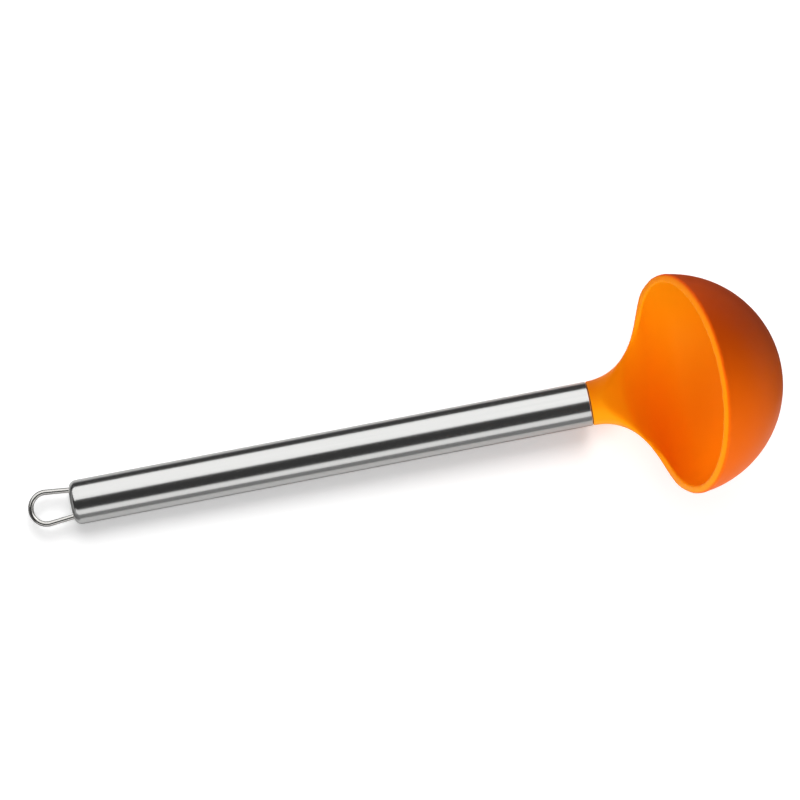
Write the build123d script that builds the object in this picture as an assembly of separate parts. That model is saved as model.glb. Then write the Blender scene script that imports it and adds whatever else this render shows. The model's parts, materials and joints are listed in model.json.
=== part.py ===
from build123d import *
from math import acos, asin, atan2, cos, degrees, radians, sin, sqrt
import os

# Soup ladle: a soft bowl moulded over a stiff core, on a steel tube handle with a wire hanging loop.
# Every piece is drawn along the handle: x runs from the loop to the bowl and is zero at the front end
# of the tube, y runs across, and z points to the side on which the bowl opens.
# At the end the ladle is laid down as it rests on a table, with the origin under the middle of it.

# Handle tube
tube_diameter = 18.0
tube_wall = 0.8
handle_length = 212.0
tube_edge_break = 0.4

# End cap, pressed from sheet, its skirt pushed into the tube
cap_height = 4.5
cap_edge_radius = 3.0
cap_wall = 1.2
cap_skirt_length = 6.0

# Hanging loop of bent wire, and the plate inside the cap that its legs are welded to
wire_diameter = 2.2
loop_bend_radius = 6.4
loop_reach = 17.8
leg_spacing = 10.8
leg_end_stub = 1.5
anchor_thickness = 1.6
anchor_set_back = 2.0

# Bowl: a sphere cut by a leaning rim, reached by a neck that flares from the tube
bowl_radius = 44.0
bowl_wall = 2.8
bowl_reach = 31.0
bowl_offset = 28.0
rim_set_back = 2.2
rim_lean = 18.5
lip_share = 0.16
lip_room = 4.0

# Soft skin on both sides of the core
skin_thickness = 0.9
rim_cover = 2.0

# Shank of the core inside the tube
shank_length = 48.0
shank_groove_depth = 1.2
shank_groove_width = 4.0
shank_grooves = 4

# Steel rod in the core, and the bush that centres its far end
rod_diameter = 4.0
rod_length = 120.0
rod_grip = 12.0
bush_length = 10.0
bush_set_in = 3.0

# Clearances
slip_gap = 0.05
joint_gap = 0.15

# Least distance at which an edge counts as lying on a cutter
tolerance = 0.001

# Shares of the neck's length and drops, chosen by hand
flare_start_share = 0.90
flare_end_share = 0.30
flare_steps = 10
ball_steps = 6
ramp_start_share = 0.07
ramp_end_share = 0.97
ramp_height_share = 1.03
sweep_start_share = 0.17
sweep_side_share = 0.39
sweep_drop_share = 0.17
sweep_end_share = 0.47
sweep_pull_share = 0.25

# Sizes that follow
tube_radius = tube_diameter / 2
tube_bore_radius = tube_radius - tube_wall
wire_radius = wire_diameter / 2
shank_radius = tube_bore_radius - slip_gap
cap_skirt_radius = tube_bore_radius - slip_gap
rod_radius = rod_diameter / 2
overrun = bowl_radius
rear = -handle_length
cap_bore_radius = cap_skirt_radius - cap_wall
anchor_front_x = rear + cap_wall + anchor_set_back + anchor_thickness
lean = radians(rim_lean)
rim_middle_x = bowl_reach + rim_set_back * cos(lean)
rim_middle_z = bowl_offset - rim_set_back * sin(lean)
lip_radius = bowl_wall * lip_share


def smooth(share):
    """Eases a share from 0 to 1 with no slope at either end."""
    return share * share * (3 - 2 * share)


def flare(step):
    """Share of the neck's length and of its growth at a step of the flare."""
    t = step / flare_steps
    u = 1 - t
    along = 3 * u * u * t * flare_start_share + 3 * u * t * t * (1 - flare_end_share) + t**3
    grown = 3 * u * t * t + t**3
    return along, grown


def back_height(share):
    """Height of the neck's back at a share of its length."""
    return -tube_radius + (bowl_offset - bowl_radius + tube_radius) * smooth(share)


def disc_across(x, z, radius):
    """A disc square to the handle, with its seam at the back."""
    return Plane(origin=(x, 0, z), x_dir=(0, 0, -1), z_dir=(1, 0, 0)) * Circle(radius)


def head_form(ball_radius, neck_discs):
    """Neck and bowl in one: the neck's discs run on along the ball past the rim, and the ball ends it."""
    discs = list(neck_discs)
    past_rim = rim_middle_x + bowl_radius * sin(lean) + lip_room - bowl_reach
    for step in range(ball_steps):
        along = past_rim * (step + 1) / ball_steps
        discs.append(disc_across(bowl_reach + along, bowl_offset, sqrt(ball_radius**2 - along**2)))
    ball = Pos(bowl_reach, 0, bowl_offset) * Rot(0, 90, 0) * Sphere(ball_radius)
    side = 4 * overrun
    neck_side = Pos(bowl_reach + past_rim - side / 2, 0, bowl_offset) * Box(side, side, side)
    return loft(discs) + (ball - neck_side)


def outer_body(inset):
    """Neck and bowl before they are hollowed, shrunk all round by the inset."""
    discs = []
    for step in range(flare_steps + 1):
        along, grown = flare(step)
        radius = tube_radius + (bowl_radius - tube_radius) * grown
        discs.append(disc_across(bowl_reach * along, back_height(along) + radius, radius - inset))
    return head_form(bowl_radius - inset, discs)


def hollow(inset):
    """Space inside the bowl, with the ramp that climbs to the neck, shrunk by the inset."""
    discs = []
    for step in range(flare_steps + 1):
        along, grown = flare(step)
        ramp = (along - ramp_start_share) / (ramp_end_share - ramp_start_share)
        ramp = smooth(min(max(ramp, 0), 1))
        fill = tube_diameter * ramp_height_share * (1 - ramp)
        radius = tube_radius + (bowl_radius - tube_radius) * grown - bowl_wall
        bottom = back_height(along) + bowl_wall + fill
        discs.append(disc_across(bowl_reach * along, bottom + radius, radius - inset))
    return head_form(bowl_radius - bowl_wall - inset, discs)


def open_side(depth):
    """What is cut away in front of the rim and above the neck, deeper by the depth."""
    rim_x = rim_middle_x + depth * cos(lean)
    rim_z = rim_middle_z - depth * sin(lean)
    pull = bowl_radius * sweep_pull_share
    down = bowl_radius * sweep_end_share
    start = (0, tube_radius + tube_radius * sweep_start_share - depth)
    side = (bowl_reach * sweep_side_share, tube_radius - tube_radius * sweep_drop_share - depth)
    end = (rim_x - down * sin(lean), rim_z - down * cos(lean))
    before = (end[0] - pull * sin(lean), end[1] - pull * cos(lean))
    far = (rim_x + 2 * overrun * sin(lean), rim_z + 2 * overrun * cos(lean))
    with BuildSketch(Plane.XZ.offset(-2 * overrun)) as side_view:
        with BuildLine():
            Bezier(start, side, before, end)
            Line(end, far)
            Line(far, (-overrun, far[1]))
            Line((-overrun, far[1]), (-overrun, start[1]))
            Line((-overrun, start[1]), start)
        make_face()
    return extrude(side_view.sketch, amount=4 * overrun)


def rod_along(start, end, radius):
    """A round bar on the handle's axis from start to end."""
    return extrude(disc_across(start, 0, radius), amount=end - start)


def ring_along(start, end, radius, bore):
    """A round ring on the handle's axis from start to end."""
    return rod_along(start, end, radius) - rod_along(start, end, bore)


def lip_edges(body, cutter):
    """Edges where the cutter met the body, without the short ones across the lip."""
    edges = []
    for edge in body.edges():
        on_cutter = all(cutter.distance_to(edge @ share) < tolerance for share in (1 / 4, 1 / 2, 3 / 4))
        if on_cutter and edge.geom_type != GeomType.LINE:
            edges.append(edge)
    return edges


def make_core_head():
    """Stiff inner wall of the bowl and neck, which the soft skin covers on both sides and at the rim."""
    shell = outer_body(skin_thickness) - hollow(-skin_thickness)
    return shell - open_side(rim_cover)


def make_bowl_skin(core_head):
    """Soft moulding: the whole visible head, round the core."""
    cutter = open_side(0)
    head = outer_body(0) - cutter - hollow(0)
    head = fillet(lip_edges(head, cutter), lip_radius)
    tube_side = rod_along(-overrun, joint_gap, overrun)
    return head - core_head - tube_side


def make_bowl_core(core_head):
    """The head's stiff core with its grooved shank, bored for the rod."""
    core = core_head + rod_along(-shank_length, 0, shank_radius)
    pitch = shank_length / (shank_grooves + 1)
    for groove in range(shank_grooves):
        middle = -pitch * (groove + 1)
        half = shank_groove_width / 2
        core -= ring_along(middle - half, middle + half, shank_radius, shank_radius - shank_groove_depth)
    return core - rod_along(-shank_length, rod_grip, rod_radius)


def make_core_rod():
    """Steel rod moulded into the core, which stiffens the neck and runs back into the tube."""
    return rod_along(rod_grip - rod_length, rod_grip, rod_radius)


def make_rod_bush():
    """Ring that centres the far end of the rod in the tube."""
    far_end = rod_grip - rod_length + bush_set_in
    return ring_along(far_end, far_end + bush_length, shank_radius, rod_radius)


def make_handle_tube():
    """Drawn tube, its front edge broken."""
    tube = ring_along(rear + cap_height, 0, tube_radius, tube_bore_radius)
    front_edge = tube.edges().filter_by(GeomType.CIRCLE).sort_by(Axis.X)[-2:].sort_by(SortBy.LENGTH)[-1:]
    return fillet(front_edge, tube_edge_break)


def loop_wire(bar_radius):
    """The bent wire: a leg through the cap, round the end, and back. The bar's radius may be a hole's."""
    middle_x = rear - loop_reach + wire_radius + loop_bend_radius
    face_y = leg_spacing / 2
    run = rear - middle_x
    turn = atan2(face_y, run) + acos(loop_bend_radius / sqrt(run**2 + face_y**2))
    touch = (middle_x + loop_bend_radius * cos(turn), loop_bend_radius * sin(turn))
    inner_x = anchor_front_x + leg_end_stub
    slope = (face_y - touch[1]) / (rear - touch[0])
    inner_y = face_y + slope * (inner_x - rear)
    with BuildLine() as path:
        Line((inner_x, inner_y), touch)
        ThreePointArc(touch, (middle_x - loop_bend_radius, 0), (touch[0], -touch[1]))
        Line((touch[0], -touch[1]), (inner_x, -inner_y))
    start = Plane(origin=path.line @ 0, z_dir=path.line % 0)
    return sweep(start * Circle(bar_radius), path.line)


def make_end_cap():
    """Deep cap with a rounded edge, a skirt inside the tube and two holes for the wire."""
    cup = rod_along(rear, rear + cap_height, tube_radius)
    rear_edge = cup.edges().filter_by(GeomType.CIRCLE).sort_by(Axis.X)[:1]
    cup = fillet(rear_edge, cap_edge_radius)
    cup += rod_along(rear + cap_height, rear + cap_height + cap_skirt_length, cap_skirt_radius)
    cup -= rod_along(rear + cap_wall, rear + cap_height + cap_skirt_length, cap_bore_radius)
    return cup - loop_wire(wire_radius + slip_gap)


def make_loop_anchor():
    """Round plate inside the cap, welded to both legs of the loop."""
    plate = rod_along(anchor_front_x - anchor_thickness, anchor_front_x, cap_bore_radius - slip_gap)
    return plate - loop_wire(wire_radius + slip_gap)


def resting_place():
    """Lays the ladle down on its cap's edge and its bowl's back, with the origin midway along."""
    edge_x = rear + cap_edge_radius
    edge_z = cap_edge_radius - tube_radius
    along = bowl_reach - edge_x
    up = bowl_offset - edge_z
    pitch = asin((bowl_radius - cap_edge_radius) / sqrt(along**2 + up**2)) - atan2(up, along)
    bowl_x = bowl_reach * cos(pitch) - bowl_offset * sin(pitch)
    bowl_z = bowl_reach * sin(pitch) + bowl_offset * cos(pitch)
    loop_x = (rear - loop_reach + wire_radius) * cos(pitch) - wire_radius
    middle = (bowl_x + bowl_radius + loop_x) / 2
    return Pos(-middle, 0, bowl_radius - bowl_z) * Rot(0, -degrees(pitch), 0)


core_head = make_core_head()
pieces = {
    "bowl_skin": make_bowl_skin(core_head),
    "bowl_core": make_bowl_core(core_head),
    "core_rod": make_core_rod(),
    "rod_bush": make_rod_bush(),
    "handle_tube": make_handle_tube(),
    "end_cap": make_end_cap(),
    "hanging_loop": loop_wire(wire_radius),
    "loop_anchor": make_loop_anchor(),
}

os.makedirs("parts", exist_ok=True)
for name, piece in pieces.items():
    export_step(resting_place() * piece, f"parts/{name}.step")
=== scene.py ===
import bisect
import json
import math
import bmesh
import bpy
from mathutils import Matrix, Vector
from mathutils.geometry import interpolate_bezier

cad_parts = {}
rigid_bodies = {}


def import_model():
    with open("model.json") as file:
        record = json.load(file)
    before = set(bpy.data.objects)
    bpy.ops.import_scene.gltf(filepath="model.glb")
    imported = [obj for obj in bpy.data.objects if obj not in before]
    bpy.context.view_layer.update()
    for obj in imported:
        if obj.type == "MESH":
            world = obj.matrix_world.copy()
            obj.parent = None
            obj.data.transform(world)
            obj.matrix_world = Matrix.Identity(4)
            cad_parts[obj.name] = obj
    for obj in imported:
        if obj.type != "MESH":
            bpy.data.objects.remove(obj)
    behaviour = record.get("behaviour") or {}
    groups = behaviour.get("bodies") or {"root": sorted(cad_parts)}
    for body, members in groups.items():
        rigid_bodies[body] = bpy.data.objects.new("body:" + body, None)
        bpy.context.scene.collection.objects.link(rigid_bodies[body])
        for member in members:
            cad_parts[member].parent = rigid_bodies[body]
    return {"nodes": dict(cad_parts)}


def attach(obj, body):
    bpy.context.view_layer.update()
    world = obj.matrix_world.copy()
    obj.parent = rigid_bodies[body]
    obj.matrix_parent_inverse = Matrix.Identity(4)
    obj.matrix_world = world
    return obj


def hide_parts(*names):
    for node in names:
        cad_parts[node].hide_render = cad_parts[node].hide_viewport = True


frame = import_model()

mm = 0.001
tiny = 1e-7  # points nearer than this are one
quarter = math.radians(90)
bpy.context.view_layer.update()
nodes = frame["nodes"]

# how the ladle lies: along its handle x is zero at the tube's front end, and z points to the open side
lying = {"pitch": 1.67483, "frontX": 77.767, "frontZ": 15.106}
layDown = (Matrix.Translation((lying["frontX"] * mm, 0, lying["frontZ"] * mm))
           @ Matrix.Rotation(-math.radians(lying["pitch"]), 4, "Y"))


# shader helpers: sockets that can be added and multiplied
class Flow:
    def __init__(self, tree, socket):
        self.tree = tree
        self.socket = socket

    def reckon(self, operation, first, second):
        node = self.tree.nodes.new("ShaderNodeMath")
        node.operation = operation
        plugIn(self.tree, node.inputs[0], first)
        plugIn(self.tree, node.inputs[1], second)
        return Flow(self.tree, node.outputs[0])

    def beside(self, name):
        # another output of the same node
        return Flow(self.tree, self.socket.node.outputs[name])

    def __add__(self, other):
        return self.reckon("ADD", self, other)

    def __radd__(self, other):
        return self.reckon("ADD", other, self)

    def __sub__(self, other):
        return self.reckon("SUBTRACT", self, other)

    def __rsub__(self, other):
        return self.reckon("SUBTRACT", other, self)

    def __mul__(self, other):
        return self.reckon("MULTIPLY", self, other)

    def __rmul__(self, other):
        return self.reckon("MULTIPLY", other, self)


def plugIn(tree, socket, value):
    if isinstance(value, Flow):
        tree.links.new(value.socket, socket)
    else:
        socket.default_value = value


class Finish:
    # one material or world, and the one method that adds its nodes
    def __init__(self, name, tree=None):
        if tree is None:
            self.material = bpy.data.materials.new(name)
            self.material.use_nodes = True
            tree = self.material.node_tree
        self.tree = tree
        tree.nodes.clear()

    def add(self, kind, settings=None, inputs=None, out=0):
        node = self.tree.nodes.new(kind)
        for name, value in (settings or {}).items():
            setattr(node, name, value)
        for name, value in (inputs or {}).items():
            plugIn(self.tree, node.inputs[name], value)
        return Flow(self.tree, node.outputs[out])

    def end(self, shader, kind="ShaderNodeOutputMaterial"):
        output = self.tree.nodes.new(kind)
        plugIn(self.tree, output.inputs["Surface"], shader)

    def alongHandle(self, scale):
        # object coordinates turned to the handle's own axes, then stretched
        place = self.add("ShaderNodeTexCoord", out="Object")
        turned = self.add("ShaderNodeMapping", {"vector_type": "POINT"}, {
            "Vector": place, "Location": (0, 0, -lying["frontZ"] * mm),
            "Rotation": (0, math.radians(lying["pitch"]), 0)})
        return self.add("ShaderNodeMapping", {"vector_type": "POINT"}, {"Vector": turned, "Scale": scale})


def mixColor(finish, factor, first, second):
    return finish.add("ShaderNodeMix", {"data_type": "RGBA"}, {0: factor, 6: first, 7: second}, 2)


def dimmed(color, share):
    return tuple(c * share for c in color[:3]) + (1,)


# mesh helpers
def link(name, data):
    piece = bpy.data.objects.new(name, data)
    bpy.context.scene.collection.objects.link(piece)
    return piece


def meshFrom(bm, name):
    mesh = bpy.data.meshes.new(name)
    bm.to_mesh(mesh)
    bm.free()
    mesh.shade_smooth()
    return mesh


def baked(piece, name):
    # the piece with its modifiers applied, as a new mesh
    bpy.context.view_layer.update()
    graph = bpy.context.evaluated_depsgraph_get()
    mesh = bpy.data.meshes.new_from_object(piece.evaluated_get(graph), depsgraph=graph)
    mesh.name = name
    return mesh


def dropPiece(piece):
    mesh = piece.data
    bpy.data.objects.remove(piece)
    bpy.data.meshes.remove(mesh)


def vertsIn(geom):
    return [g for g in geom if isinstance(g, bmesh.types.BMVert)]


def edgesIn(geom):
    return [g for g in geom if isinstance(g, bmesh.types.BMEdge)]


def discAcross(x, z, radius):
    # places a unit circle square to the handle, in millimetres along it
    return (Matrix.Translation((x * mm, 0, z * mm)) @ Matrix.Rotation(quarter, 4, "Y")
            @ Matrix.Diagonal((radius * mm, radius * mm, 1, 1)))


def growRing(bm, edges, before, place):
    # one more ring of faces from the open edges, moved from one disc to the next
    grown = bmesh.ops.extrude_edge_only(bm, edges=edges)["geom"]
    bmesh.ops.transform(bm, matrix=place @ before.inverted(), verts=vertsIn(grown))
    return edgesIn(grown)


def ringsAlong(rings, sides):
    # a closed form through rings of (x, z, radius), its ends filled
    bm = bmesh.new()
    before = discAcross(*rings[0])
    bmesh.ops.create_circle(bm, cap_ends=False, segments=sides, radius=1, matrix=before)
    edges = list(bm.edges)
    bmesh.ops.edgeloop_fill(bm, edges=edges)
    for ring in rings[1:]:
        place = discAcross(*ring)
        edges = growRing(bm, edges, before, place)
        before = place
    bmesh.ops.edgeloop_fill(bm, edges=edges)
    bmesh.ops.recalc_face_normals(bm, faces=bm.faces)
    return bm


# head: neck and bowl, soft moulded in one, in millimetres
head = {
    "tubeRadius": 9.0, "bowlRadius": 44.0, "bowlReach": 31.0, "bowlOffset": 28.0,
    "rimSetBack": 2.2, "rimLean": 18.5, "flareStart": 0.90, "flareEnd": 0.30, "stub": 4.0,
    "sides": 200, "flareSteps": 48, "ballSteps": 40, "tableSteps": 400, "voxel": 0.62,
    # the opening's edge: down from the neck's top, along the flanks and up to the rim
    "sweepStart": 0.17, "sweepSide": 0.39, "sweepDrop": 0.17, "sweepEnd": 0.47, "sweepPull": 0.25,
    "sweepPoints": 60, "flankRise": 0.6, "riseFade": 8.0, "riseEnd": 24.0, "riseEndFade": 6.0,
    # the hollow: its wall, its ramp up to the neck and the flat dish between the flanks
    "hollowWall": 3.3, "rampStart": 0.07, "rampEnd": 1.3, "rampHeight": 1.03, "leastDepth": 0.5,
    "flankEdge": 0.6, "flankFrom": 18.0, "flankFade": 13.0, "widest": 60.0, "leastSide": 1.0,
    # the lip's face, which slopes outwards
    "lipWidth": 3.0, "lipSlope": 1.3, "lipAhead": 1.0, "lipDepth": 4.0, "lipFrom": -20, "lipFade": 10,
    # the flat end at the tube
    "jointGap": 0.3, "endRound": 0.5, "endSteps": 5,
    # where the painted shade on the outside begins, under the surface and along the neck
    "skinFrom": 0.25, "skinFade": 0.7, "paintedShadeFrom": 5.0, "paintedShadeFade": 31.0,
}
lean = math.radians(head["rimLean"])
rimX = head["bowlReach"] + head["rimSetBack"] * math.cos(lean)
rimZ = head["bowlOffset"] - head["rimSetBack"] * math.sin(lean)


def ease(share):
    share = min(max(share, 0), 1)
    return share * share * (3 - 2 * share)


def flareAt(t):
    # how far along the neck the flare has come, and how far it has opened
    u = 1 - t
    along = 3 * u * u * t * head["flareStart"] + 3 * u * t * t * (1 - head["flareEnd"]) + t ** 3
    return along, 3 * u * t * t + t ** 3


flareTable = [flareAt(step / head["tableSteps"]) for step in range(head["tableSteps"] + 1)]


def flareRadius(grown):
    return head["tubeRadius"] + (head["bowlRadius"] - head["tubeRadius"]) * grown


def backHeight(share):
    return -head["tubeRadius"] + (head["bowlOffset"] - head["bowlRadius"] + head["tubeRadius"]) * ease(share)


def rampRise(share):
    # how far the hollow's bottom rises towards the neck
    ramp = ease((share - head["rampStart"]) / (head["rampEnd"] - head["rampStart"]))
    return 2 * head["tubeRadius"] * head["rampHeight"] * (1 - ramp)


def ballRings(radius):
    # the ball from its widest place to its pole
    rings = []
    for step in range(1, head["ballSteps"]):
        turn = quarter * step / head["ballSteps"]
        rings.append((head["bowlReach"] + radius * math.sin(turn), head["bowlOffset"],
                      radius * math.cos(turn)))
    return rings


def outerRings():
    rings = [(-head["stub"], 0, head["tubeRadius"])]
    for step in range(head["flareSteps"] + 1):
        along, grown = flareAt(step / head["flareSteps"])
        radius = flareRadius(grown)
        rings.append((head["bowlReach"] * along, backHeight(along) + radius, radius))
    return rings + ballRings(head["bowlRadius"])


def openingLine():
    # the opening's edge in the plane of symmetry, from the neck's top to the rim
    tube, down = head["tubeRadius"], head["bowlRadius"] * head["sweepEnd"]
    start = Vector((0, 0, tube * (1 + head["sweepStart"])))
    side = Vector((head["bowlReach"] * head["sweepSide"], 0, tube * (1 - head["sweepDrop"])))
    end = Vector((rimX - down * math.sin(lean), 0, rimZ - down * math.cos(lean)))
    before = end - Vector((math.sin(lean), 0, math.cos(lean))) * head["bowlRadius"] * head["sweepPull"]
    line = interpolate_bezier(start, side, before, end, head["sweepPoints"])
    for point in line:  # what the smoothing takes off the flanks' edges is added first
        point.z += (head["flankRise"] * ease(point.x / head["riseFade"])
                    * (1 - ease((point.x - head["riseEnd"]) / head["riseEndFade"])))
    return line


def edgeHeightAt(line, x):
    return next((p.z for p in line if p.x >= x), line[-1].z)


def hollowRings():
    # in the ball the hollow keeps its wall, and towards the neck it is a flat dish from flank to flank
    rings = []
    line = openingLine()
    wall, flankEdge = head["hollowWall"], head["flankEdge"]
    for step in range(head["flareSteps"] + 1):
        along, grown = flareAt(step / head["flareSteps"])
        x = head["bowlReach"] * along
        outer = flareRadius(grown)
        bottom = backHeight(along) + wall + rampRise(along)
        edgeHeight = edgeHeightAt(line, x)
        drop = edgeHeight - backHeight(along) - outer
        share = ease((x - head["flankFrom"]) / head["flankFade"])
        side = math.sqrt(max(outer ** 2 - drop ** 2, head["leastSide"])) - flankEdge - (wall - flankEdge) * share
        deep = max(edgeHeight - bottom, head["leastDepth"])
        dish = min((side ** 2 + deep ** 2) / (2 * deep), head["widest"])
        radius = dish + (outer - wall - dish) * share
        rings.append((x, bottom + radius, radius))
    for x, z, radius in ballRings(head["bowlRadius"] - wall):
        rings.append((x, z + rampRise(x / head["bowlReach"]), radius))
    return rings


def openSide():
    # a prism across the bowl: all that is in front of the rim and above the neck
    far = 2 * head["bowlRadius"]
    top = Vector((rimX + far * math.sin(lean), 0, rimZ + far * math.cos(lean)))
    outline = openingLine()
    outline += [top, Vector((-far, 0, top.z)), Vector((-far, 0, outline[0].z))]
    bm = bmesh.new()
    verts = [bm.verts.new((p.x * mm, -far * mm, p.z * mm)) for p in outline]
    face = bm.faces.new(verts)
    grown = bmesh.ops.extrude_face_region(bm, geom=[face])["geom"]
    bmesh.ops.translate(bm, vec=(0, 2 * far * mm, 0), verts=vertsIn(grown))
    bmesh.ops.recalc_face_normals(bm, faces=bm.faces)
    return bm


def slopeLip(piece):
    # the rim's face slopes outwards: its outer edge moves back along the bowl's own axis
    axis = Vector((math.cos(lean), 0, -math.sin(lean)))
    out = Vector((math.sin(lean), 0, math.cos(lean)))
    middle = Vector((head["bowlReach"], 0, head["bowlOffset"])) * mm
    inner = head["bowlRadius"] - head["lipWidth"]
    for v in piece.data.vertices:
        away = (v.co - middle) / mm
        behind, up = away.dot(axis) - head["rimSetBack"], away.dot(out)
        if -head["lipAhead"] < behind < head["lipDepth"] and up > head["lipFrom"]:
            outwards = min(max((math.hypot(up, away.y) - inner) / head["lipWidth"], 0), 1)
            fade = (1 - ease(behind / head["lipDepth"])) * ease((up - head["lipFrom"]) / head["lipFade"])
            v.co += axis * (head["lipSlope"] * outwards * fade * mm)


def depthUnder(x, y, z):
    # how deep a point lies under the head's outer surface
    reach = head["bowlReach"]
    if x < reach:
        place = bisect.bisect_left(flareTable, (max(x, 0) / reach, 0))
        radius = flareRadius(flareTable[min(place, len(flareTable) - 1)][1])
        return radius - math.hypot(y, z - backHeight(max(x, 0) / reach) - radius)
    return head["bowlRadius"] - math.hypot(x - reach, y, z - head["bowlOffset"])


# how the moulded blends are softened: passes, and where each kind begins and fades out
soften = {
    "factor": 0.5, "evenPasses": 9, "insidePasses": 120, "edgePasses": 30, "leastWeight": 0.01,
    "start": 1.5, "startFade": 5, "anchor": 0.8, "anchorFade": 2.5,
    "troughSide": 3, "troughSpread": 0.75, "troughFade": 4, "troughEnd": 26, "troughEndFade": 12,
    "flankEnd": 17, "flankEndFade": 8, "rollDepth": 7, "rollFade": 5,
}


def softenWeights(piece):
    # inside: the trough and the flanks' inner sides, which smooth the most; edges: the flanks' rolled edges
    inside = piece.vertex_groups.new(name="inside")
    edges = piece.vertex_groups.new(name="edges")
    line = openingLine()
    for v in piece.data.vertices:
        x, y, z = (c / mm for c in v.co)
        if x < soften["start"] or x > soften["troughEnd"] + soften["troughEndFade"]:
            continue
        start = ease((x - soften["start"]) / soften["startFade"])
        side = abs(y) - soften["troughSide"] - soften["troughSpread"] * x
        trough = ((1 - ease(side / soften["troughFade"]))
                  * (1 - ease((x - soften["troughEnd"]) / soften["troughEndFade"])))
        flank = 1 - ease((x - soften["flankEnd"]) / soften["flankEndFade"])
        deep = ease((depthUnder(x, y, z) - soften["anchor"]) / soften["anchorFade"])
        weight = start * max(trough, flank) * deep
        if weight > soften["leastWeight"]:
            inside.add([v.index], weight, "REPLACE")
        above = z - edgeHeightAt(line, x) + soften["rollDepth"]
        edge = start * flank * ease(above / soften["rollFade"])
        if edge > soften["leastWeight"]:
            edges.add([v.index], edge, "REPLACE")


def closeNeck(bm):
    # the neck ends flat at the tube, its edge rounded
    gap, edge, tube = head["jointGap"], head["endRound"], head["tubeRadius"]
    cut = bmesh.ops.bisect_plane(bm, geom=[*bm.verts, *bm.edges, *bm.faces], dist=tiny,
                                 plane_co=((gap + edge) * mm, 0, 0), plane_no=(-1, 0, 0), clear_outer=True)
    rim = edgesIn(cut["geom_cut"])
    before = discAcross(gap + edge, 0, tube)
    for step in range(1, head["endSteps"] + 1):
        turn = quarter * step / head["endSteps"]
        place = discAcross(gap + edge * (1 - math.sin(turn)), 0, tube - edge * (1 - math.cos(turn)))
        rim = growRing(bm, rim, before, place)
        before = place
    bmesh.ops.edgeloop_fill(bm, edges=rim)
    bmesh.ops.recalc_face_normals(bm, faces=bm.faces)


def markPaintedShade(bm):
    # painted shade: 1 on the outer surface, 0 on the lip, inside and at the tube
    paintedShade = bm.verts.layers.float.new("paintedShade")
    for v in bm.verts:
        depth = depthUnder(v.co.x / mm, v.co.y / mm, v.co.z / mm)
        v[paintedShade] = ease((v.co.x / mm - head["paintedShadeFrom"]) / head["paintedShadeFade"])
        v[paintedShade] *= 1 - ease((depth - head["skinFrom"]) / head["skinFade"])


def makeHead():
    body = link("headBody", meshFrom(ringsAlong(outerRings(), head["sides"]), "headBody"))
    tools = [link("headHollow", meshFrom(ringsAlong(hollowRings(), head["sides"]), "headHollow")),
             link("headOpening", meshFrom(openSide(), "headOpening"))]
    for tool in tools:
        cut = body.modifiers.new(tool.name, "BOOLEAN")
        cut.operation = "DIFFERENCE"
        cut.solver = "EXACT"
        cut.object = tool
    remesh = body.modifiers.new("evenMesh", "REMESH")
    remesh.mode = "VOXEL"
    remesh.voxel_size = head["voxel"] * mm
    even = link("headEven", baked(body, "headEven"))
    for piece in [body, *tools]:
        dropPiece(piece)
    print("head: voxel mesh", len(even.data.polygons))

    slopeLip(even)
    softenWeights(even)
    for groupName, passes in (("", "evenPasses"), ("inside", "insidePasses"), ("edges", "edgePasses")):
        smoothing = even.modifiers.new("smooth", "SMOOTH")
        smoothing.factor = soften["factor"]
        smoothing.iterations = soften[passes]
        smoothing.vertex_group = groupName
    bm = bmesh.new()
    bm.from_mesh(baked(even, "headSmooth"))
    dropPiece(even)
    closeNeck(bm)
    markPaintedShade(bm)
    bmesh.ops.transform(bm, matrix=layDown, verts=bm.verts)
    return link("orangeHead", meshFrom(bm, "orangeHead"))


orangeHead = makeHead()
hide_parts("bowl_skin")
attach(orangeHead, "root")
print("head: done", len(orangeHead.data.polygons))


# silicone: matt, faintly clouded, with a fine grain; its outside is painted darker and redder, which is painted
# shade and not a colour of its own
silicone = {
    # the second colour is the same silicone made darker and redder for the outside: painted shade
    "color": (0.90, 0.26, 0.003, 1), "paintedShadeColor": (0.86, 0.11, 0.002, 1), "cloudScale": 35, "cloudDepth": 0.94,
    "roughness": 0.37, "cloudRoughness": 0.1, "grainScale": 1500, "grainStrength": 0.5, "grainDepth": 0.000012,
    "ior": 1.43, "gloss": 0.26, "glossColor": (1, 0.5, 0.12, 1),
}


def makeSilicone():
    finish = Finish("orangeSilicone")
    place = finish.add("ShaderNodeTexCoord", out="Object")
    cloud = finish.add("ShaderNodeTexNoise", inputs={
        "Vector": place, "Scale": silicone["cloudScale"], "Detail": 3})
    grain = finish.add("ShaderNodeTexNoise", inputs={
        "Vector": place, "Scale": silicone["grainScale"], "Detail": 2})
    paintedShade = finish.add("ShaderNodeAttribute", {"attribute_name": "paintedShade"}, out="Fac")
    inner, outer, deep = silicone["color"], silicone["paintedShadeColor"], silicone["cloudDepth"]
    # the outside gets the darker, redder copy of the silicone: painted shade
    color = mixColor(finish, paintedShade, mixColor(finish, cloud, inner, dimmed(inner, deep)),
                     mixColor(finish, cloud, outer, dimmed(outer, deep)))
    bump = finish.add("ShaderNodeBump", inputs={
        "Height": grain, "Strength": silicone["grainStrength"], "Distance": silicone["grainDepth"]})
    finish.end(finish.add("ShaderNodeBsdfPrincipled", inputs={
        "Base Color": color, "Roughness": silicone["roughness"] + cloud * silicone["cloudRoughness"],
        "IOR": silicone["ior"], "Specular IOR Level": silicone["gloss"],
        "Specular Tint": silicone["glossColor"], "Normal": bump}))
    return finish.material


orangeHead.data.materials.clear()
orangeHead.data.materials.append(makeSilicone())


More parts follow.
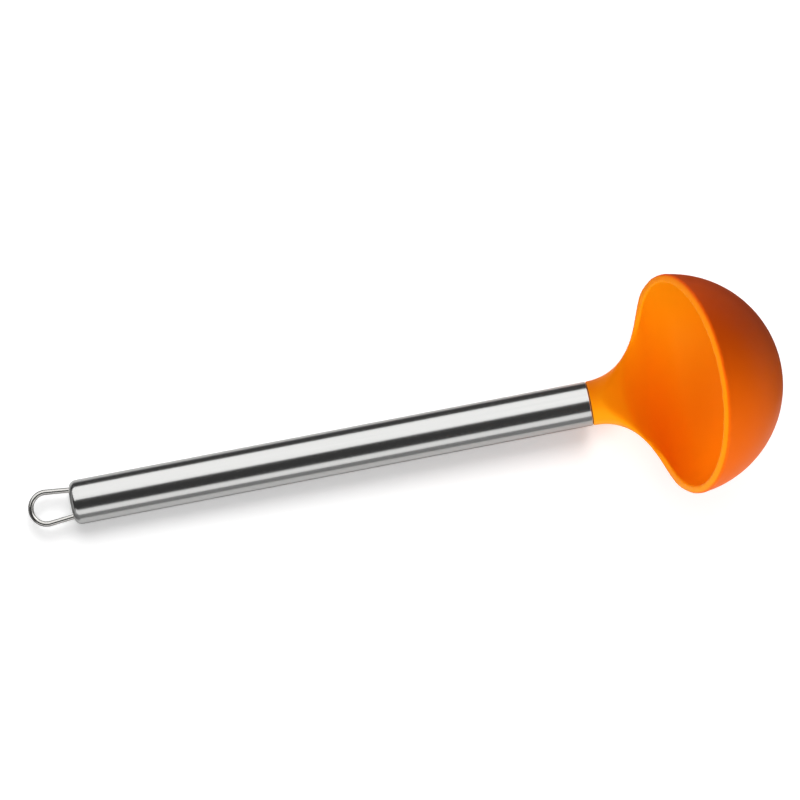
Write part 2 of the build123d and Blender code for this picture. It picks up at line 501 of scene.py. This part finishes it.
# steels: fine streaks and wider bands along the handle, a tone, a roughness and a streak depth each
steelGrain = {"streakLength": 25, "bandScale": (10, 1400, 1400), "bandDepth": 0.86, "bandShare": 0.6,
              "fineShare": 0.4, "bumpStrength": 0.6}
steels = {
    "brushedTubeSteel": {"color": (0.80, 0.80, 0.79, 1), "roughness": 0.15, "spread": 0.08,
                         "streaks": 9000, "depth": 0.000004},
    "capSteel": {"color": (0.79, 0.79, 0.78, 1), "roughness": 0.15, "spread": 0.08,
                 "streaks": 8000, "depth": 0.000003},
    "drawnWireSteel": {"color": (0.78, 0.77, 0.74, 1), "roughness": 0.10, "spread": 0.06,
                       "streaks": 4000, "depth": 0.000002},
    "rodSteel": {"color": (0.62, 0.62, 0.61, 1), "roughness": 0.28, "spread": 0.1,
                 "streaks": 3000, "depth": 0.000004},
}


def makeSteel(name):
    steel = steels[name]
    finish = Finish(name)
    place = finish.alongHandle((steelGrain["streakLength"], steel["streaks"], steel["streaks"]))
    fine = finish.add("ShaderNodeTexNoise", inputs={"Vector": place, "Scale": 1, "Detail": 3, "Roughness": 0.6})
    wide = finish.add("ShaderNodeTexNoise", inputs={
        "Vector": finish.alongHandle(steelGrain["bandScale"]), "Scale": 1, "Detail": 2})
    shade = mixColor(finish, fine * steelGrain["fineShare"] + wide * steelGrain["bandShare"],
                     dimmed(steel["color"], steelGrain["bandDepth"]), steel["color"])
    bump = finish.add("ShaderNodeBump", inputs={
        "Height": fine, "Strength": steelGrain["bumpStrength"], "Distance": steel["depth"]})
    finish.end(finish.add("ShaderNodeBsdfPrincipled", inputs={
        "Base Color": shade, "Metallic": 1.0, "Normal": bump,
        "Roughness": steel["roughness"] + (fine * 0.5 + wide * 0.5) * steel["spread"]}))
    return finish.material


# nylon of the inner pieces
nylon = {"color": (0.02, 0.02, 0.02, 1), "paleColor": (0.03, 0.03, 0.03, 1), "roughness": 0.5, "spread": 0.15,
         "grainScale": 900, "grainStrength": 0.5, "grainDepth": 0.00002}


def makeNylon():
    finish = Finish("coreNylon")
    place = finish.add("ShaderNodeTexCoord", out="Object")
    grain = finish.add("ShaderNodeTexNoise", inputs={
        "Vector": place, "Scale": nylon["grainScale"], "Detail": 3})
    bump = finish.add("ShaderNodeBump", inputs={
        "Height": grain, "Strength": nylon["grainStrength"], "Distance": nylon["grainDepth"]})
    finish.end(finish.add("ShaderNodeBsdfPrincipled", inputs={
        "Base Color": mixColor(finish, grain, nylon["color"], nylon["paleColor"]),
        "Roughness": nylon["roughness"] + grain * nylon["spread"], "Normal": bump}))
    return finish.material


tubeSteel, capSteel, wireSteel, rodSteel = [makeSteel(name) for name in steels]
coreNylon = makeNylon()
wanted = {"bowl_core": coreNylon, "rod_bush": coreNylon, "core_rod": rodSteel, "loop_anchor": rodSteel,
          "handle_tube": tubeSteel, "end_cap": capSteel, "hanging_loop": wireSteel}
for name, material in wanted.items():
    nodes[name].data.materials.clear()
    nodes[name].data.materials.append(material)
print("finishes: done")


# tube, end cap and hanging loop, in millimetres
tube = {"radius": 9.0, "wall": 0.8, "rear": -212.0, "capHeight": 4.5, "edge": 0.4, "edgeSteps": 5, "sides": 192}
cap = {"edgeRadius": 3.0, "edgeSteps": 14, "wall": 1.2, "skirt": 6.0, "gap": 0.05, "sides": 192}
wire = {"radius": 1.1, "bend": 6.4, "reach": 17.8, "legSpacing": 10.8, "inner": 6.3, "sides": 40,
        "bendSteps": 48, "legSteps": 6}
sharpAngle = 40


def turned(outline, sides, name):
    # spins an outline of (x, radius) points round the handle's axis
    bm = bmesh.new()
    verts = [bm.verts.new((x * mm, 0, r * mm)) for x, r in outline]
    edges = [bm.edges.new((a, b)) for a, b in zip(verts, verts[1:] + verts[:1])]
    bmesh.ops.spin(bm, geom=verts + edges, cent=(0, 0, 0), axis=(1, 0, 0), dvec=(0, 0, 0),
                   angle=math.radians(360), steps=sides, use_merge=True, use_duplicate=False)
    bmesh.ops.remove_doubles(bm, verts=bm.verts, dist=tiny)
    bmesh.ops.recalc_face_normals(bm, faces=bm.faces)
    bmesh.ops.transform(bm, matrix=layDown, verts=bm.verts)
    return link(name, meshFrom(bm, name))


def corner(x, r, radius, fromTurn, toTurn, steps):
    # points of a rounded corner, its middle at (x, r)
    points = []
    for step in range(steps + 1):
        turn = math.radians(fromTurn + (toTurn - fromTurn) * step / steps)
        points.append((x + radius * math.cos(turn), r + radius * math.sin(turn)))
    return points


def makeTube():
    out, bore, edge = tube["radius"], tube["radius"] - tube["wall"], tube["edge"]
    rear = tube["rear"] + tube["capHeight"]
    outline = [(rear, bore), (rear, out)]
    outline += corner(-edge, out - edge, edge, 90, 0, tube["edgeSteps"]) + [(0, bore)]
    return turned(outline, tube["sides"], "steelTube")


def makeCap():
    rear, out, edge = tube["rear"], tube["radius"], cap["edgeRadius"]
    skirt = out - tube["wall"] - cap["gap"]
    bore, front = skirt - cap["wall"], rear + tube["capHeight"]
    outline = [(rear + cap["wall"], 0), (rear, 0)]
    outline += corner(rear + edge, out - edge, edge, 180, 90, cap["edgeSteps"])
    outline += [(front, out), (front, skirt), (front + cap["skirt"], skirt),
                (front + cap["skirt"], bore), (rear + cap["wall"], bore)]
    return turned(outline, cap["sides"], "steelCap")


def pushOn(bm, edges, shift):
    # a straight run of the wire from its open end
    for _ in range(wire["legSteps"]):
        grown = bmesh.ops.extrude_edge_only(bm, edges=edges)["geom"]
        bmesh.ops.translate(bm, vec=shift * mm / wire["legSteps"], verts=vertsIn(grown))
        edges = edgesIn(grown)
    return edges


def makeLoop():
    # one wire: a leg, the round end, a leg
    middleX = tube["rear"] - wire["reach"] + wire["radius"] + wire["bend"]
    faceY, run = wire["legSpacing"] / 2, tube["rear"] - middleX
    turn = math.atan2(faceY, run) + math.acos(wire["bend"] / math.hypot(run, faceY))
    touch = Vector((middleX + wire["bend"] * math.cos(turn), wire["bend"] * math.sin(turn), 0))
    innerX = tube["rear"] + wire["inner"]
    slope = (faceY - touch.y) / (tube["rear"] - touch.x)
    inner = Vector((innerX, faceY + slope * (innerX - tube["rear"]), 0))
    along = (touch - inner).normalized()
    square = along.to_track_quat("Z", "Y").to_matrix().to_4x4()
    bm = bmesh.new()
    bmesh.ops.create_circle(bm, cap_ends=False, segments=wire["sides"], radius=wire["radius"] * mm,
                            matrix=Matrix.Translation(inner * mm) @ square)
    edges = list(bm.edges)
    bmesh.ops.edgeloop_fill(bm, edges=edges)
    edges = pushOn(bm, edges, touch - inner)
    bent = bmesh.ops.spin(bm, geom=edges, cent=(middleX * mm, 0, 0), axis=(0, 0, 1), dvec=(0, 0, 0),
                          angle=2 * (math.pi - turn), steps=wire["bendSteps"], use_merge=False)
    edges = pushOn(bm, edgesIn(bent["geom_last"]), Vector((inner.x - touch.x, touch.y - inner.y, 0)))
    bmesh.ops.edgeloop_fill(bm, edges=edges)
    bmesh.ops.remove_doubles(bm, verts=bm.verts, dist=tiny)
    bmesh.ops.recalc_face_normals(bm, faces=bm.faces)
    bmesh.ops.transform(bm, matrix=layDown, verts=bm.verts)
    return link("wireLoop", meshFrom(bm, "wireLoop"))


for piece, node, slotName, material in (
        (makeTube(), "handle_tube", "tube_steel", tubeSteel),
        (makeCap(), "end_cap", "cap_steel", capSteel),
        (makeLoop(), "hanging_loop", "wire_steel", wireSteel)):
    piece.data.materials.append(material)
    piece.data.set_sharp_from_angle(angle=math.radians(sharpAngle))
    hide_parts(node)
    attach(piece, "root")
print("tube, cap and loop: done")


# camera, as the photograph was taken: its place in millimetres and its own axes
camera = {
    "place": (-42.51, -34.61, 1214.34), "lens": 134.319, "sensor": 36, "clip": (0.01, 100),
    "right": (0.98142795, -0.18954807, 0.02950784), "up": (0.18800667, 0.98097621, 0.04836491),
    "back": (-0.03811397, -0.041919, 0.99839377),
}
cam = link("camera", bpy.data.cameras.new("camera"))
cam.data.sensor_width = camera["sensor"]
cam.data.lens = camera["lens"]
cam.data.clip_start, cam.data.clip_end = camera["clip"]
cam.matrix_world = (Matrix.Translation(Vector(camera["place"]) * mm)
                    @ Matrix((camera["right"], camera["up"], camera["back"])).transposed().to_4x4())
bpy.context.scene.camera = cam
bpy.context.scene.view_settings.view_transform = "Standard"
print("camera: done")


# floor: white to the camera but for the shadow; the steel sees dark zones in it, given in metres,
# along the handle or across it, with where each begins, where it is full and how dark it gets
floorTones = {
    "size": 10, "color": 0.8, "lift": 0.43, "inGloss": 0.65, "darkInGloss": 0.05,
    "behind": (0.020, 0.036, 1), "front": (-0.085, -0.125, 0.75), "rear": (-0.140, -0.152, 0.75),
    "bowlSide": (0.15, 0.17, 1),
}


def makeFloor():
    bm = bmesh.new()
    bmesh.ops.create_grid(bm, x_segments=1, y_segments=1, size=floorTones["size"])
    floor = link("floor", meshFrom(bm, "floor"))
    finish = Finish("paleFloor")
    rays = finish.add("ShaderNodeLightPath", out="Is Camera Ray")
    across = finish.add("ShaderNodeSeparateXYZ", inputs={
        "Vector": finish.add("ShaderNodeTexCoord", out="Object")}, out="Y")
    along = across.beside("X")
    dark = 0
    for value, zone in ((across, "behind"), (across, "front"), (along, "rear"), (along + across, "bowlSide")):
        start, full, most = floorTones[zone]
        ramp = finish.add("ShaderNodeMapRange", {"interpolation_type": "SMOOTHSTEP"}, {
            "Value": value, "From Min": start, "From Max": full, "To Max": most})
        dark = ramp.reckon("MAXIMUM", ramp, dark)
    inGloss = floorTones["inGloss"] + dark * (floorTones["darkInGloss"] - floorTones["inGloss"])
    tone = floorTones["color"] + rays.beside("Is Glossy Ray") * (inGloss - floorTones["color"])
    color = finish.add("ShaderNodeCombineColor", inputs={"Red": tone, "Green": tone, "Blue": tone})
    matte = finish.add("ShaderNodeBsdfDiffuse", inputs={"Color": color})
    glow = finish.add("ShaderNodeEmission", inputs={"Strength": rays * floorTones["lift"]})
    finish.end(finish.add("ShaderNodeAddShader", inputs={0: matte, 1: glow}))
    floor.data.materials.append(finish.material)
    return floor


# sky: it lights nothing, and is white to the camera and dark in the steel
sky = {"ambient": 0.0, "inGloss": 0.034, "seen": 1.0}


def makeSky():
    world = bpy.data.worlds.new("sky")
    bpy.context.scene.world = world
    world.use_nodes = True
    finish = Finish("sky", world.node_tree)
    seen = finish.add("ShaderNodeLightPath", out="Is Camera Ray")
    inGloss = seen.beside("Is Glossy Ray") * (sky["inGloss"] - sky["ambient"])
    strength = sky["ambient"] + inGloss + seen * (sky["seen"] - sky["ambient"])
    finish.end(finish.add("ShaderNodeBackground", inputs={"Color": (1, 1, 1, 1), "Strength": strength}),
               "ShaderNodeOutputWorld")


floor = makeFloor()
makeSky()


def groupOf(name, members, state="INCLUDE"):
    group = bpy.data.collections.new(name)
    for member in members:
        group.objects.link(member)
    for entry in group.collection_objects:
        entry.light_linking.link_state = state
    return group


# cards that only gloss sees, each from one angle to another: from straight up towards the side it stands on
cards = {
    "topCard": {"side": (0, 1, 0), "from": 11, "to": 85, "far": 1.5, "length": 3.0, "radiance": 1.08},
    "lowCard": {"side": (0, -1, 0), "from": 43, "to": 71, "far": 1.2, "length": 3.0, "radiance": 0.86,
                "onHead": True},
    "lineCard": {"side": (0, -1, 0), "from": 71, "to": 92, "far": 1.2, "length": 3.0, "radiance": 0.17},
    "frontCard": {"side": (1, 0, 0), "from": 30, "to": 84, "far": 1.5, "length": 2.6, "radiance": 0.6},
    "rearCard": {"side": (-1, 0, 0), "from": 78, "to": 92, "far": 1.5, "length": 2.6, "radiance": 0.35},
}
cardAim = Vector((0, 0, 0.012))


def addCard(name, card):
    ends = [(Vector(card["side"]) * math.sin(turn) + Vector((0, 0, math.cos(turn)))) * card["far"]
            for turn in (math.radians(card["from"]), math.radians(card["to"]))]
    lamp = bpy.data.lights.new(name, "AREA")
    lamp.shape = "RECTANGLE"
    lamp.size, lamp.size_y = card["length"], (ends[1] - ends[0]).length
    lamp.energy = card["radiance"] * math.pi * card["length"] * (ends[1] - ends[0]).length
    stand = link(name, lamp)
    place = (ends[0] + ends[1]) / 2 + cardAim
    stand.matrix_world = (Matrix.Translation(place)
                          @ (cardAim - place).to_track_quat("-Z", "Y").to_matrix().to_4x4())
    stand.visible_diffuse = False
    return stand


allButHead = groupOf("allButHead", [orangeHead], "EXCLUDE")
for name, card in cards.items():
    stand = addCard(name, card)
    if not card.get("onHead"):
        stand.light_linking.receiver_collection = allButHead


# soft suns, given as the photograph shows them: right, up and towards the camera
# the floor has its own two, so that the shadow falls below the handle
suns = {
    "keyBelow": {"way": (0.0, -0.866, 0.5), "strength": 0.55, "color": (1, 1.42, 1)},
    "keyLeft": {"way": (-0.866, 0.0, 0.5), "strength": 0.21},
    "upperLeft": {"way": (-0.25, 0.433, 0.866), "strength": 0.28, "color": (1, 0.62, 0.4)},
    "lowerLeft": {"way": (-0.25, -0.433, 0.866), "strength": 0.14, "color": (1, 1.1, 1)},
    "overhead": {"way": (0.0, 0.0, 1.0), "strength": 0.07},
    "grazeLeft": {"way": (-0.99, 0.08, 0.087), "strength": 0.42, "color": (1, 0.85, 0.8)},
    "grazeUpper": {"way": (-0.75, 0.6, 0.27), "strength": 0.15, "color": (1, 0.85, 0.8)},
    "grazeBelow": {"way": (0.498, -0.863, 0.087), "strength": 0.6, "color": (1, 1.25, 1)},
    "floorAll": {"way": (0.1, 0.45, 0.88), "strength": 0.36, "spread": 80, "forFloor": True},
    "floorHandle": {"way": (0.05, 0.55, 0.84), "strength": 0.62, "spread": 32, "forFloor": True,
                    "blockers": ("steelTube", "steelCap", "wireLoop", "core_rod")},
}
sunSpread = 40


def photoWay(right, up, back):
    # a direction given as the photograph shows it, in the row frame
    return (Vector(camera["right"]) * right + Vector(camera["up"]) * up
            + Vector(camera["back"]) * back).normalized()


def addSun(name, sun):
    lamp = bpy.data.lights.new(name, "SUN")
    lamp.energy = math.pi * sun["strength"]
    lamp.angle = math.radians(sun.get("spread", sunSpread))
    lamp.color = sun.get("color", (1, 1, 1))
    stand = link(name, lamp)
    stand.matrix_world = (-photoWay(*sun["way"])).to_track_quat("-Z", "Y").to_matrix().to_4x4()
    stand.visible_glossy = False
    return stand


allButFloor = groupOf("allButFloor", [floor], "EXCLUDE")
floorOnly = groupOf("floorOnly", [floor])
for name, sun in suns.items():
    linking = addSun(name, sun).light_linking
    linking.receiver_collection = floorOnly if sun.get("forFloor") else allButFloor
    if "blockers" in sun:
        linking.blocker_collection = groupOf("handlePieces", [bpy.data.objects[n] for n in sun["blockers"]])
print("stage: done")
